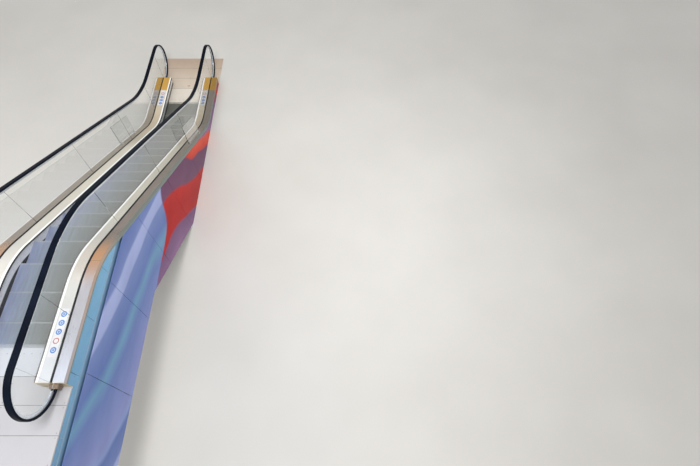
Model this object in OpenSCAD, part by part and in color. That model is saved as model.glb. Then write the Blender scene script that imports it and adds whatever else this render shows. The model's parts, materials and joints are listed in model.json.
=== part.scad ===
// Escalator with clear glass balustrades, moving handrails, cleated steps and a fully clad truss.
// X runs across the steps, +Y from the upper landing to the lower one, +Z up.
// The origin lies on the underside of the upper support angle, on the centre plane.

/* [Run] */
// Height between the two floors
rise = 2850; // [2000:50:6000]
// Slope of the straight run in degrees
slope = 30; // [27.3:0.1:35]
// Floor level above the bearing face of the upper support angle
floor_up = 200; // [120:5:300]
// Distance from the truss end to the upper comb line
comb_from_end_up = 2070; // [1800:10:2600]
// Distance from the lower comb line to the truss end
comb_from_end_low = 1650; // [1500:10:2600]
// Level length from the upper comb line to the knee
flat_up = 1010; // [800:10:2000]
// Level length from the knee to the lower comb line
flat_low = 864; // [800:10:2000]
// Bend radius of the step path at the upper knee
knee_r_up = 1210; // [1000:10:2700]
// Bend radius of the step path at the lower knee
knee_r_low = 1300; // [1100:10:2700]
// Gap between two pieces where one rests on or in the other
fit = 0.3; // [0.2:0.1:0.5]

/* [Steps] */
// Clear width between the skirts
step_band = 800; // [600:200:1000]
// Gap between a tread and each skirt
side_gap = 2; // [1:0.5:4]
// Distance from one step to the next along the path
step_pitch = 405; // [400:1:410]
// Distance of the first nosing from the upper comb line
first_nosing = 279; // [0:1:400]
// Distance from the step axle to the nosing
axle_to_nosing = 313; // [280:1:360]
// Gap between a tread and the riser behind it
tread_gap = 4; // [3:0.5:6]
// Thickness of a tread under its cleats
tread_web = 14; // [10:1:30]
// Height of the cleats
cleat_h = 10; // [8:0.5:12]
// Distance from one cleat to the next
cleat_pitch = 9; // [8:0.5:10]
// Width of a cleat
cleat_w = 3.5; // [2.5:0.1:4.5]
// Thickness of a riser without its cleats
riser_t = 5; // [4:0.5:12]
// Height of the cleats on a riser
riser_cleat_h = 4; // [2:0.5:6]
// One rib on a riser for this many cleats of a tread
riser_rib_every = 2; // [1:1:4]
// Angle that a riser spans about the rear edge of its tread, in degrees
riser_span = 31; // [28:0.5:34]
// Distance of the tread surface below the floor plates
tread_drop = 12; // [8:1:20]
// Depth of the step axle below the tread surface
axle_drop = 130; // [120:1:150]
// Radius of the step axle
axle_r = 14; // [10:1:16]
// Distance from the nosing back to the trailing roller
trail_back = 110; // [95:1:140]
// Radius of the step rollers
roller_r = 38; // [35:1:42]
// Width of the step rollers
roller_w = 24; // [20:1:26]
// Width of a comb tooth
tooth_w = 3; // [2:0.1:4]
// Length of a comb tooth
tooth_len = 45; // [30:1:60]
// Depth of the comb teeth in the grooves of a tread
tooth_dip = 5; // [4:0.5:7]
// Depth of a comb segment from its tips to its rear edge
comb_depth = 140; // [110:5:180]

/* [Balustrade] */
// Distance from the skirt face to the centre of the glass
glass_from_skirt = 191; // [120:1:260]
// Thickness of the glass
glass_t = 12; // [8:1:16]
// Height of the glass foot above the step path
deck_h = 190; // [150:1:260]
// Height of the handrail centre above the step path
rail_h = 911; // [850:1:1050]
// Bend radius of the handrail at the lower knee
rail_knee_low = 2100; // [400:50:3000]
// Height of the returning handrail above the floor at the newels
return_h = 80; // [60:1:160]
// Width of the handrail
rail_w = 78; // [70:1:90]
// Thickness of the handrail
rail_t = 28; // [22:1:34]
// Newel centre beyond the upper comb line
newel_up = 524; // [400:1:900]
// Newel centre beyond the lower comb line
newel_low = 827; // [400:1:1200]
// Deck end beyond the upper comb line
deck_end_up = 499; // [380:1:900]
// Deck end beyond the lower comb line
deck_end_low = 680; // [380:1:820]
// Width of the outer deck from the glass centre
outer_deck_w = 148; // [100:1:250]
// Thickness of deck and skirt sheets
sheet_t = 4; // [2:0.5:6]
// Gap between two glass panels
glass_gap = 4; // [2:0.5:8]
// Seam between two lengths of deck, skirt or rail
seam = 0.5; // [0.2:0.1:2]
// Distances of the upright glass joints from the upper comb line
glass_joint_at = [284, 1880, 3450, 5000, 6440];
// Distance from the upper comb line to the clear guards
guard_from_comb = 4735; // [4000:5:5200]
// Level length of a clear guard
guard_len = 665; // [400:5:900]
// Upright height of a clear guard
guard_h = 520; // [300:5:700]
// Thickness of a clear guard
guard_t = 10; // [6:1:15]

/* [Truss and cladding] */
// Depth of the upper station below the upper floor
station_up = 1700; // [1000:10:2000]
// Depth of the lower station below the lower floor
station_low = 1150; // [1000:10:1600]
// Upright depth of the truss below the step path on the slope
truss_depth = 1480; // [900:10:1700]
// Thickness of the side cladding
clad_t = 6; // [3:1:12]
// Width of a joint between cladding panels
clad_gap = 6; // [3:1:12]
// Depth of the fascia strip below the upper floor
fascia_drop = 120; // [60:5:200]
// Depth of the top edge of the upper side cladding below the upper floor
clad_drop = 250; // [160:5:400]
// Distance of the recessed band behind the fascia strip
recess = 24; // [15:1:35]
// Depth of the top chord below the floor
chord_drop = 330; // [310:5:400]
// Upright height of a chord
chord_h = 100; // [60:5:140]
// Width of a chord
chord_w = 80; // [50:5:100]
// Length of a side cladding panel
clad_pitch = 1210; // [900:10:1500]
// Length of a fascia panel
fascia_pitch = 682; // [500:2:900]
// Thickness of the floor plates
plate_t = 20; // [12:1:30]
// Distance from one upper floor plate to the next
plate_pitch_up = 320; // [250:5:450]
// Distance from one lower floor plate to the next
plate_pitch_low = 362; // [250:2:450]
// Thickness of the support angles
support_t = 20; // [12:1:30]
// Depth of the upright leg of a support angle
support_leg = 180; // [120:10:260]
// Distance between the gussets of a support angle
gusset_pitch = 200; // [120:10:350]
// Thickness of a gusset
gusset_t = 12; // [8:1:20]
// Length of a lifting slot in a floor plate
lift_slot_len = 60; // [40:5:100]
// Width of a lifting slot in a floor plate
lift_slot_w = 14; // [8:1:20]

/* [Hidden] */
$fa = 3;
$fs = 2;
floor_low = floor_up - rise;
truss_y0 = 80;
comb_up = truss_y0 + comb_from_end_up;
knee_up = comb_up + flat_up;
run = rise / tan(slope);
knee_low = knee_up + run;
comb_low = knee_low + flat_low;
truss_y1 = comb_low + comb_from_end_low;
cap_up = comb_up - deck_end_up;
cap_low = comb_low + deck_end_low;
arc_y_up = knee_up - knee_r_up * tan(slope / 2);
arc_y_low = low_bend_y(knee_r_low);
slope_len = straight_len(knee_r_low);
arc_len_up = knee_r_up * slope * PI / 180;
arc_len_low = knee_r_low * slope * PI / 180;
flat_len_up = arc_y_up - comb_up;
glass_x = step_band / 2 + glass_from_skirt;
outer_x = glass_x + outer_deck_w;
clad_x = outer_x - sheet_t - fit - clad_t;
top_r_low = rail_knee_low + rail_h;
newel_r = (rail_h - return_h) / 2;
newel_z = (rail_h + return_h) / 2;
newel_y_up = comb_up - newel_up;
newel_y_low = comb_low + newel_low;
tread_w = step_band - 2 * side_gap;
tread_t = cleat_h + tread_web;
tread_r = step_pitch - tread_gap;
cleat_side = floor((tread_w - cleat_w) / 2 / cleat_pitch);
skirt_top = deck_h - 12;
skirt_foot = -110;
light_w = 26;
clamp_w = 34;
clamp_top = deck_h - 4;
clamp_foot = deck_h - 70;
slot_foot = deck_h - 58;
slot_head = 19;
guide_head_w = 36;
return_path_h = -130;
bend_r = 400;
bend_a = acos(1 - (return_h - return_path_h) / (2 * bend_r));
bend_len = 2 * bend_r * sin(bend_a);
glass_joints = [for (d = glass_joint_at) comb_up + d];
deck_end_t = 6;
collar_len = 46;
collar_room = deck_end_t + collar_len + 8;
clad_first = 295;
clad_top = deck_h - sheet_t - fit;
edge_steps = 24;
fascia_first = 318;
recess_t = 6;
plate_first_up = 389;
plate_first_low = 507;
plate_gap = 2;
soffit_t = 4;
end_plate_t = 8;
support_in = truss_y0 - support_t;
support_w = 2 * clad_x - 60;
wedge_y = knee_up + (clad_drop + 2 * deck_h) / tan(slope);
clad_joints = [for (y = [comb_up - clad_first - clad_pitch : clad_pitch : truss_y1 - 200]) y];
chord_x = clad_x - fit - chord_w;
guard_x = outer_x - 40;
guard_y0 = comb_up + guard_from_comb;
guard_y1 = guard_y0 + guard_len;
clip_w = 26;
clip_len = 50;
clip_h = 40;
clip_floor = 4;
frame_x = 8;
frame_side = tread_w / 2 - 40;
trail_drop = axle_drop + (axle_to_nosing - trail_back) * tan(slope);
stub_r = 10;
roller_x = step_band / 2 + 20;
track_t = 6;
track_web = 58;

// Centre of the lower bend, and length of the straight slope, for a path that bends there with radius r.
function low_bend_y(r) = knee_low + r * tan(slope / 2);
function straight_len(r) = run / cos(slope) - (knee_r_up + r) * tan(slope / 2);

// Step path: distance s from the upper comb line to a point [y, z] on the path.
function path_y(s) =
    s < flat_len_up ? comb_up + s
    : s < flat_len_up + arc_len_up ? arc_y_up + knee_r_up * sin((s - flat_len_up) / knee_r_up * 180 / PI)
    : s < flat_len_up + arc_len_up + slope_len
        ? arc_y_up + knee_r_up * sin(slope) + (s - flat_len_up - arc_len_up) * cos(slope)
    : s < flat_len_up + arc_len_up + slope_len + arc_len_low
        ? arc_y_low - knee_r_low
            * sin(slope - (s - flat_len_up - arc_len_up - slope_len) / knee_r_low * 180 / PI)
    : arc_y_low + s - flat_len_up - arc_len_up - slope_len - arc_len_low;
function path_z(s) =
    s < flat_len_up ? floor_up
    : s < flat_len_up + arc_len_up ? floor_up - knee_r_up * (1 - cos((s - flat_len_up) / knee_r_up * 180 / PI))
    : s < flat_len_up + arc_len_up + slope_len
        ? floor_up - knee_r_up * (1 - cos(slope)) - (s - flat_len_up - arc_len_up) * sin(slope)
    : s < flat_len_up + arc_len_up + slope_len + arc_len_low
        ? floor_low + knee_r_low
            * (1 - cos(slope - (s - flat_len_up - arc_len_up - slope_len) / knee_r_low * 180 / PI))
    : floor_low;
function step_s(k) = first_nosing - axle_to_nosing + k * step_pitch;
function step_y(k) = path_y(step_s(k)) + axle_to_nosing;
function step_z(k) = path_z(step_s(k)) - tread_drop;
path_total = flat_len_up + arc_len_up + slope_len + arc_len_low + comb_low - arc_y_low;
step_count = floor((path_total - first_nosing + axle_to_nosing) / step_pitch) + 1;

// Points of the line that runs at height h above the path with lower bend radius r, from y0 to y1.
function edge_line(h, y0, y1, n = 8, r = knee_r_low) = concat(
    [[y0, floor_up + h]],
    [for (i = [0:n]) let (a = slope * i / n)
        [arc_y_up + (knee_r_up + h) * sin(a), floor_up - knee_r_up + (knee_r_up + h) * cos(a)]],
    [for (i = [0:n]) let (a = slope * (1 - i / n))
        [low_bend_y(r) - (r - h) * sin(a), floor_low + r - (r - h) * cos(a)]],
    [[y1, floor_low + h]]
);
function slope_z(y, drop) = floor_up - (y - knee_up) * tan(slope) - drop;
bottom_knee_up = knee_up + (station_up - truss_depth) / tan(slope);
bottom_knee_low = knee_up + (rise + station_low - truss_depth) / tan(slope);
bottom_line = [
    [truss_y1, floor_low - station_low], [bottom_knee_low, floor_low - station_low],
    [bottom_knee_up, floor_up - station_up], [truss_y0, floor_up - station_up]
];

// A profile drawn as (x, height) is carried along the level run from y0 to y1 at level z.
module level(y0, y1, z) {
    translate([0, y1, z]) rotate([90, 0, 0]) linear_extrude(y1 - y0) children();
}

// The same profile is carried round a bend about a cross axis: angles seen from +X, 0 along +Y.
module bend(y, z, from, to) {
    translate([0, y, z]) rotate([90, 0, 90]) rotate([0, 0, from]) {
        if (to > from)
            rotate_extrude(angle = to - from) children();
        else
            mirror([0, 1, 0]) rotate_extrude(angle = from - to) children();
    }
}

// Outward profile for a bend whose centre lies below the path, then one whose centre lies above.
module over(r) {
    translate([r, 0]) mirror([1, -1, 0]) children();
}
module under(r) {
    translate([r, 0]) rotate(90) children();
}

module along(y0, y1, r = knee_r_low) {
    level(y0, arc_y_up, floor_up) children();
    bend(arc_y_up, floor_up - knee_r_up, 90, 90 - slope) over(knee_r_up) children();
    translate([0, low_bend_y(r) - r * sin(slope), floor_low + r * (1 - cos(slope))])
        rotate([90 - slope, 0, 0]) translate([0, 0, seam])
            linear_extrude(straight_len(r) - 2 * seam) children();
    bend(low_bend_y(r), floor_low + r, 270, 270 - slope) under(r) children();
    level(low_bend_y(r), y1, floor_low) children();
}

// A side view drawn as (y, z) becomes a plate that spans x0 to x1.
module side_plate(x0, x1) {
    translate([x0, 0, 0]) rotate([90, 0, 90]) linear_extrude(x1 - x0) children();
}

module box(x0, x1, y0, y1, z0, z1) {
    translate([x0, y0, z0]) cube([x1 - x0, y1 - y0, z1 - z0]);
}

module pair() {
    children();
    mirror([1, 0, 0]) children();
}

// Rectangle from corner to corner.
module rect(x0, x1, h0, h1) {
    translate([x0, h0]) square([x1 - x0, h1 - h0]);
}

// Supports.
module support_angle() {
    side_plate(-support_w / 2, support_w / 2)
        polygon([[-support_in, 0], [support_in, 0], [support_in, -support_leg], [truss_y0, -support_leg],
            [truss_y0, support_t], [-support_in, support_t]]);
    n = floor((support_w / 2 - support_t) / gusset_pitch);
    for (i = [-n:n])
        side_plate(i * gusset_pitch - gusset_t / 2, i * gusset_pitch + gusset_t / 2)
            polygon([[support_in, 0], [0, 0], [support_in, -support_leg * 2 / 3]]);
}

module upper_support_angle() {
    color("dimgray") support_angle();
}

module lower_support_angle() {
    color("dimgray") translate([0, truss_y1 + truss_y0, floor_low - floor_up])
        mirror([0, 1, 0]) support_angle();
}

// Truss: chords, then cross frames with the posts that carry the step tracks.
chord_y0 = truss_y0 + end_plate_t + fit;
chord_y1 = truss_y1 - end_plate_t - fit;
chord_shift = 70;
foot_line = [
    [chord_y1, floor_low - station_low], [bottom_knee_low, floor_low - station_low],
    [bottom_knee_up, floor_up - station_up], [chord_y0, floor_up - station_up]
];

module chord_band(line, lift) {
    side_plate(chord_x, chord_x + chord_w)
        polygon(concat([for (p = line) p + [0, lift]], [for (p = flip(line)) p + [0, lift + chord_h]]));
}

module truss_chords() {
    top = [[chord_y0, floor_up - chord_drop], [knee_up + chord_shift, floor_up - chord_drop],
        [knee_low + chord_shift, floor_low - chord_drop], [chord_y1, floor_low - chord_drop]];
    color("slategray") pair() {
        chord_band(top, -chord_h);
        chord_band(foot_line, soffit_t + fit);
    }
}

function path_level(y) =
    y < arc_y_up ? floor_up
    : y < arc_y_up + knee_r_up * sin(slope)
        ? floor_up - knee_r_up + sqrt(knee_r_up ^ 2 - (y - arc_y_up) ^ 2)
    : y < arc_y_low - knee_r_low * sin(slope) ? slope_z(y, 0)
    : y < arc_y_low ? floor_low + knee_r_low - sqrt(knee_r_low ^ 2 - (y - arc_y_low) ^ 2)
    : floor_low;

// Running surfaces of the tracks below the step path, and how far the trailing track lies ahead.
chain_low = tread_drop + axle_drop;
trail_low = tread_drop + trail_drop;
trail_ahead = axle_to_nosing - trail_back;
chain_track_x = step_band / 2 + 14;
trail_track_x = frame_side + frame_x + fit;
trail_track_w = roller_w + 6;
chain_track_w = roller_w + 12;
track_y0 = comb_up - 120;
track_y1 = comb_low;
frame_count = 9;
frame_w = 80;
bar_drop = 100;

module truss_frames() {
    color("slategray") for (i = [0:frame_count - 1]) {
        y = truss_y0 + 500 + i * (truss_y1 - truss_y0 - 1000) / (frame_count - 1);
        z_low = soffit_t + (y < bottom_knee_up ? floor_up - station_up
            : y > bottom_knee_low ? floor_low - station_low : slope_z(y - frame_w / 2, truss_depth));
        z_high = y < knee_up + chord_shift ? floor_up - chord_drop
            : y > knee_low + chord_shift ? floor_low - chord_drop : slope_z(y - chord_shift, chord_drop);
        x = chord_x - fit;
        difference() {
            box(-x, x, y - frame_w / 2, y + frame_w / 2, z_low + 30, z_high - 20);
            side_plate(frame_w - x, x - frame_w) {
                rect(y - frame_w, y + frame_w, z_low + 30 + frame_w, z_high - bar_drop - frame_w);
                rect(y - frame_w, y + frame_w, z_high - bar_drop, z_high);
            }
        }
        if (y > track_y0 + trail_ahead && y < track_y1) pair() {
            box(chain_track_x + chain_track_w + fit, chain_track_x + chain_track_w + fit + 8, y - 30, y + 30,
                z_high - bar_drop - 1, path_level(y) - chain_low - roller_r - 30);
            box(trail_track_x + trail_track_w + fit, trail_track_x + trail_track_w + fit + 8, y - 30, y + 30,
                z_high - bar_drop - 1, path_level(y - trail_ahead) - trail_low - roller_r - 30);
        }
    }
}

// Rails on which the step rollers run, drawn under the roller centre as (x, height).
module track_profile(x, w) {
    rect(x, x + w, -roller_r - fit - track_t, -roller_r - fit);
    rect(x + w - track_t, x + w, -roller_r - fit - track_web, -roller_r - fit);
}

module step_tracks() {
    color("gray") pair() {
        translate([0, 0, -chain_low]) along(track_y0, track_y1)
            track_profile(chain_track_x, chain_track_w);
        translate([0, trail_ahead, -trail_low]) along(track_y0, track_y1)
            track_profile(trail_track_x, trail_track_w);
    }
}

// Cladding.
module clad_outline() {
    difference() {
        polygon(concat(edge_line(clad_top, truss_y0, truss_y1, edge_steps), bottom_line));
        rect(truss_y0 - 1, cap_up - fit, floor_up - plate_t - fit, floor_up + deck_h);
        rect(cap_low + fit, truss_y1 + 1, floor_low - plate_t - fit, floor_low + deck_h);
    }
}

module clad_side() {
    side_plate(clad_x, clad_x + clad_t) difference() {
        clad_outline();
        rect(truss_y0 - 1, wedge_y, floor_up - clad_drop, floor_up + deck_h);
        for (y = clad_joints)
            rect(y, y + clad_gap, floor_low - station_low - 1, floor_up + deck_h);
    }
}

module side_cladding_left() {
    color("slateblue") mirror([1, 0, 0]) clad_side();
}

module side_cladding_right() {
    color("slateblue") clad_side();
}

// The fascia strips hang from the deck, and the recessed band behind them stands on the top chord.
module fascia_side() {
    side_plate(clad_x, clad_x + clad_t) difference() {
        intersection() {
            clad_outline();
            rect(truss_y0, wedge_y, floor_up - fascia_drop, floor_up + deck_h);
        }
        for (i = [-3:1])
            rect(comb_up + fascia_first + i * fascia_pitch, comb_up + fascia_first + i * fascia_pitch + 4,
                floor_up - clad_drop, floor_up + deck_h);
    }
    side_plate(clad_x - recess - recess_t, clad_x - recess) intersection() {
        clad_outline();
        rect(chord_y0, wedge_y, floor_up - chord_drop + fit, floor_up - fascia_drop + 40);
    }
}

module upper_fascia_left() {
    color("cadetblue") mirror([1, 0, 0]) fascia_side();
}

module upper_fascia_right() {
    color("cadetblue") fascia_side();
}

module soffit_panels() {
    color("silver") side_plate(fit - clad_x, clad_x - fit) difference() {
        polygon(concat(bottom_line, [for (p = flip(bottom_line)) p + [0, soffit_t]]));
        for (y = clad_joints)
            rect(y, y + clad_gap / 2, floor_low - station_low - 1, floor_up);
    }
}

module end_plate(y0, floor_z, depth) {
    box(fit - clad_x, clad_x - fit, y0, y0 + end_plate_t, floor_z - depth + soffit_t + fit,
        floor_z - plate_t - fit);
}

module upper_end_plate() {
    color("slategray") end_plate(truss_y0, floor_up, station_up);
}

module lower_end_plate() {
    color("slategray") end_plate(truss_y1 - end_plate_t, floor_low, station_low);
}

// Decks and skirts, drawn for the +X side as (x, height).
module outer_deck_profile() {
    x0 = glass_x + clamp_w / 2 + fit;
    rect(x0, outer_x, deck_h - sheet_t, deck_h);
    rect(x0, x0 + sheet_t, deck_h - 40, deck_h);
    rect(outer_x - sheet_t, outer_x, deck_h - 60, deck_h);
}

module inner_deck_profile() {
    x0 = step_band / 2 + sheet_t + light_w + fit;
    x1 = glass_x - clamp_w / 2 - fit;
    polygon([[x0, deck_h - 30], [x0 + sheet_t, deck_h - 30], [x0 + sheet_t, deck_h - 10 - sheet_t],
        [x1 - sheet_t, deck_h - sheet_t], [x1 - sheet_t, deck_h - 40], [x1, deck_h - 40],
        [x1, deck_h], [x0, deck_h - 10]]);
}

module skirt_profile() {
    rect(step_band / 2, step_band / 2 + sheet_t, skirt_foot, skirt_top);
}

module skirt_light_profile() {
    rect(step_band / 2 + sheet_t, step_band / 2 + sheet_t + light_w, skirt_top - 22, skirt_top);
}

module skirt_brush_profile() {
    rect(step_band / 2 - 4, step_band / 2, skirt_top - 14, skirt_top - 2);
    rect(step_band / 2 - 14, step_band / 2 - 4, skirt_top - 10, skirt_top - 6);
}

module clamp_profile() {
    difference() {
        rect(glass_x - clamp_w / 2, glass_x + clamp_w / 2, clamp_foot, clamp_top);
        rect(glass_x - glass_t / 2 - fit, glass_x + glass_t / 2 + fit, slot_foot, deck_h);
    }
}

gasket = 9;
module gasket_profile() {
    for (s = [-1, 1])
        translate([glass_x + s * (glass_t / 2 + fit + gasket / 2), clamp_top + fit + gasket / 2])
            square(gasket, center = true);
}

module deck_run(side) {
    mirror([side, 0, 0]) along(cap_up, cap_low) children();
}

module outer_deck_left() {
    color("darkgray") deck_run(1) outer_deck_profile();
}
module outer_deck_right() {
    color("darkgray") deck_run(0) outer_deck_profile();
}
module inner_deck_left() {
    color("seashell") deck_run(1) inner_deck_profile();
}
module inner_deck_right() {
    color("seashell") deck_run(0) inner_deck_profile();
}
module skirt_left() {
    color("dimgray") deck_run(1) skirt_profile();
}
module skirt_right() {
    color("dimgray") deck_run(0) skirt_profile();
}
module skirt_brush_left() {
    color("black") deck_run(1) skirt_brush_profile();
}
module skirt_brush_right() {
    color("black") deck_run(0) skirt_brush_profile();
}
module skirt_light_left() {
    color("white") deck_run(1) skirt_light_profile();
}
module skirt_light_right() {
    color("white") deck_run(0) skirt_light_profile();
}
module glass_clamp_left() {
    color("gray") deck_run(1) clamp_profile();
}
module glass_clamp_right() {
    color("gray") deck_run(0) clamp_profile();
}
module glass_gasket_left() {
    color("black") deck_run(1) gasket_profile();
}
module glass_gasket_right() {
    color("black") deck_run(0) gasket_profile();
}

// Glass: panels with open upright joints, rounded at each newel.
glass_top = rail_h - slot_head - fit;
glass_foot = slot_foot + fit;
disc_r = newel_r - slot_head - fit;

function flip(list) = [for (i = [len(list) - 1:-1:0]) list[i]];

module glass_side() {
    side_plate(glass_x - glass_t / 2, glass_x + glass_t / 2) difference() {
        union() {
            polygon(concat(edge_line(glass_top, cap_up - 1, cap_low + 1, 48, top_r_low),
                flip(edge_line(glass_foot, cap_up - 1, cap_low + 1, 24))));
            difference() {
                translate([newel_y_up, floor_up + newel_z]) circle(disc_r);
                rect(cap_up, cap_up + 2 * newel_r, floor_up - 100, floor_up + 2 * rail_h);
                rect(cap_up - collar_room, cap_up + 1, floor_up, floor_up + glass_foot);
            }
            difference() {
                union() {
                    translate([newel_y_low, floor_low + newel_z]) circle(disc_r);
                    rect(cap_low, newel_y_low, floor_low + newel_z - disc_r, floor_low + glass_top);
                }
                rect(newel_y_low - 2 * newel_r, cap_low, floor_low - 100, floor_low + 2 * rail_h);
                rect(cap_low - 1, cap_low + collar_room, floor_low, floor_low + glass_foot);
            }
        }
        for (y = glass_joints)
            rect(y, y + glass_gap, floor_low - 1, floor_up + 2 * rail_h);
    }
}

module glass_left() {
    color([0.75, 0.9, 0.9, 0.4]) mirror([1, 0, 0]) glass_side();
}
module glass_right() {
    color([0.75, 0.9, 0.9, 0.4]) glass_side();
}

// Handrail guide and handrail, drawn about the handrail centre as (x, outward).
module guide_profile() {
    difference() {
        rect(-13, 13, -48, 0);
        rect(-glass_t / 2 - fit, glass_t / 2 + fit, -49, -slot_head);
    }
    rect(-guide_head_w / 2, guide_head_w / 2, -5, 0);
}

module rail_profile() {
    difference() {
        union() {
            square([rail_w - rail_t, rail_t], center = true);
            for (s = [-1, 1]) translate([s * (rail_w - rail_t) / 2, 0]) circle(rail_t / 2);
        }
        rect(-guide_head_w / 2 - 2, guide_head_w / 2 + 2, -6.5, fit);
        rect(-15, 15, -rail_t, -6);
    }
}

// A closed-loop profile is carried round the newels and along the top run.
module top_loop() {
    translate([glass_x, 0, 0]) {
        along(newel_y_up, newel_y_low, top_r_low) translate([0, rail_h]) children();
        bend(newel_y_up, floor_up + newel_z, 90, 270) over(newel_r) children();
        bend(newel_y_low, floor_low + newel_z, 90, -90) over(newel_r) children();
    }
}

module handrail_side() {
    y0 = cap_up + 10;
    y1 = cap_low - 20;
    top_loop() rail_profile();
    translate([glass_x, 0, 0]) {
        level(newel_y_up, y0, floor_up + return_h) mirror([0, 1, 0]) rail_profile();
        bend(y0, floor_up + return_h - bend_r, 90, 90 - bend_a)
            over(bend_r) mirror([0, 1, 0]) rail_profile();
        bend(y0 + bend_len, floor_up + return_path_h + bend_r, 270, 270.1 - bend_a)
            under(bend_r) mirror([0, 1, 0]) rail_profile();
        along(y0 + bend_len, y1 - bend_len)
            translate([0, return_path_h]) mirror([0, 1, 0]) rail_profile();
        bend(y1 - bend_len, floor_low + return_path_h + bend_r, 270, 269.9 + bend_a)
            under(bend_r) mirror([0, 1, 0]) rail_profile();
        bend(y1, floor_low + return_h - bend_r, 90, 90 + bend_a)
            over(bend_r) mirror([0, 1, 0]) rail_profile();
        level(y1, newel_y_low, floor_low + return_h) mirror([0, 1, 0]) rail_profile();
    }
}

module guide_side() {
    translate([glass_x, 0, 0]) {
        along(newel_y_up, newel_y_low, top_r_low) translate([0, rail_h]) guide_profile();
        bend(newel_y_up, floor_up + newel_z, 90, 262) over(newel_r) guide_profile();
        bend(newel_y_low, floor_low + newel_z, 90, -90) over(newel_r) guide_profile();
        level(cap_low + collar_room, newel_y_low, floor_low + return_h)
            mirror([0, 1, 0]) guide_profile();
    }
}

module handrail_left() {
    color("black") mirror([1, 0, 0]) handrail_side();
}
module handrail_right() {
    color("black") handrail_side();
}
module handrail_guide_left() {
    color("silver") mirror([1, 0, 0]) guide_side();
}
module handrail_guide_right() {
    color("silver") guide_side();
}

// Deck ends with the openings where the handrail goes in, and their collars.
module inlet_hole(y, z, grow) {
    translate([glass_x, y, z]) rotate([90, 0, 0]) linear_extrude(400, center = true) {
        square([rail_w - rail_t, rail_t + 2 * grow], center = true);
        for (s = [-1, 1]) translate([s * (rail_w - rail_t) / 2, 0]) circle(rail_t / 2 + grow);
    }
}

module deck_end(y0, y1, floor_z) {
    difference() {
        box(step_band / 2, outer_x, y0, y1, floor_z - plate_t, floor_z + deck_h);
        inlet_hole(y0, floor_z + return_h, 6);
        box(glass_x - glass_t / 2 - fit, glass_x + glass_t / 2 + fit, y0 - 1, y1 + 1, floor_z + slot_foot,
            floor_z + deck_h + 1);
    }
}

// The collar narrows towards its mouth. It is drawn from the deck end outwards and mirrored to face away.
module collar(y, floor_z, away) {
    h = 30;
    translate([0, y, floor_z + return_h]) mirror([0, away, 0]) difference() {
        intersection() {
            side_plate(glass_x - 60, glass_x + 60)
                polygon([[0, -h - 6], [0, h + 12], [collar_len, h], [collar_len, -h]]);
            linear_extrude(200, center = true)
                polygon([[glass_x - 60, 0], [glass_x + 60, 0], [glass_x + 52, collar_len],
                    [glass_x - 52, collar_len]]);
        }
        inlet_hole(0, 0, 4);
    }
}

module upper_deck_ends() {
    color("tan") pair() deck_end(cap_up - fit - deck_end_t, cap_up - fit, floor_up);
}
module lower_deck_ends() {
    color("tan") pair() deck_end(cap_low + fit, cap_low + fit + deck_end_t, floor_low);
}
module handrail_inlets() {
    color("rosybrown") pair() {
        collar(cap_up - 2 * fit - deck_end_t, floor_up, 1);
        collar(cap_low + 2 * fit + deck_end_t, floor_low, 0);
    }
}

// Steps: treads and risers are ribbed lengthwise, and the combs run in the grooves of the treads.
function rib_line(base, top, every = 1) = [
    for (i = [-floor(cleat_side / every):floor(cleat_side / every)],
        p = [[-1, base], [-1, top], [1, top], [1, base]])
        [i * every * cleat_pitch + p[0] * cleat_w / 2, p[1]]
];

module tread_profile() {
    polygon(concat([[-tread_w / 2, -tread_t], [-tread_w / 2, -cleat_h]], rib_line(-cleat_h, 0),
        [[tread_w / 2, -cleat_h], [tread_w / 2, -tread_t]]));
}

module step_treads() {
    color("lightgray") for (k = [0:step_count - 1])
        level(step_y(k) - tread_r, step_y(k), step_z(k)) tread_profile();
}

// A riser follows an arc about the rear edge of its tread.
riser_top_a = asin((tread_t + fit) / (tread_r - riser_t - riser_cleat_h));
module riser_profile() {
    polygon([for (p = concat([[-tread_w / 2, -riser_t - riser_cleat_h], [-tread_w / 2, -riser_cleat_h]],
        rib_line(-riser_cleat_h, 0, riser_rib_every),
        [[tread_w / 2, -riser_cleat_h], [tread_w / 2, -riser_t - riser_cleat_h]])) [tread_r + p[1], p[0]]]);
}

module step_risers() {
    color("gray") for (k = [0:step_count - 1])
        translate([0, step_y(k) - tread_r, step_z(k)]) rotate([90, 0, 90]) rotate([0, 0, -riser_span])
            rotate_extrude(angle = riser_span - riser_top_a) riser_profile();
}

// Point on the back of a riser at angle a, seen from its nosing.
function riser_back(a) =
    let (r = tread_r - riser_t - riser_cleat_h - fit) [r * cos(a) - tread_r, -r * sin(a)];

module step_frames() {
    top = -tread_t - fit;
    edge = [for (i = [0:4]) riser_back(riser_top_a + 1 + (riser_span - riser_top_a - 1) * i / 4)];
    color("darkgray") for (k = [0:step_count - 1]) translate([0, step_y(k), step_z(k)]) {
        pair() side_plate(frame_side, frame_side + frame_x) polygon(concat(
            [[21 - tread_r, top], [edge[0][0], top]], edge,
            [[24 - trail_back, 4 - trail_drop], [-trail_back, -trail_drop - 22],
                [-trail_back - 24, 4 - trail_drop], [-trail_back - 60, -axle_drop - 10],
                [28 - axle_to_nosing, -axle_drop - 24], [-axle_to_nosing, -axle_drop - 30],
                [-axle_to_nosing - 30, -axle_drop], [21 - tread_r, top - 40]]));
        translate([0, -axle_to_nosing, -axle_drop]) rotate([0, 90, 0])
            cylinder(r = axle_r, h = 2 * (roller_x + roller_w + 4), center = true);
        pair() translate([frame_side + 1, -trail_back, -trail_drop]) rotate([0, 90, 0])
            cylinder(r = stub_r, h = frame_x + fit + roller_w + 2);
    }
}

// Rollers: the outer ones on the step axle, the trailing ones on stubs beside the frames.
module roller(x, y, z, bore) {
    translate([x, y, z]) rotate([0, 90, 0]) difference() {
        cylinder(r = roller_r, h = roller_w);
        translate([0, 0, -1]) cylinder(r = bore + fit, h = roller_w + 2);
    }
}

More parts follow.
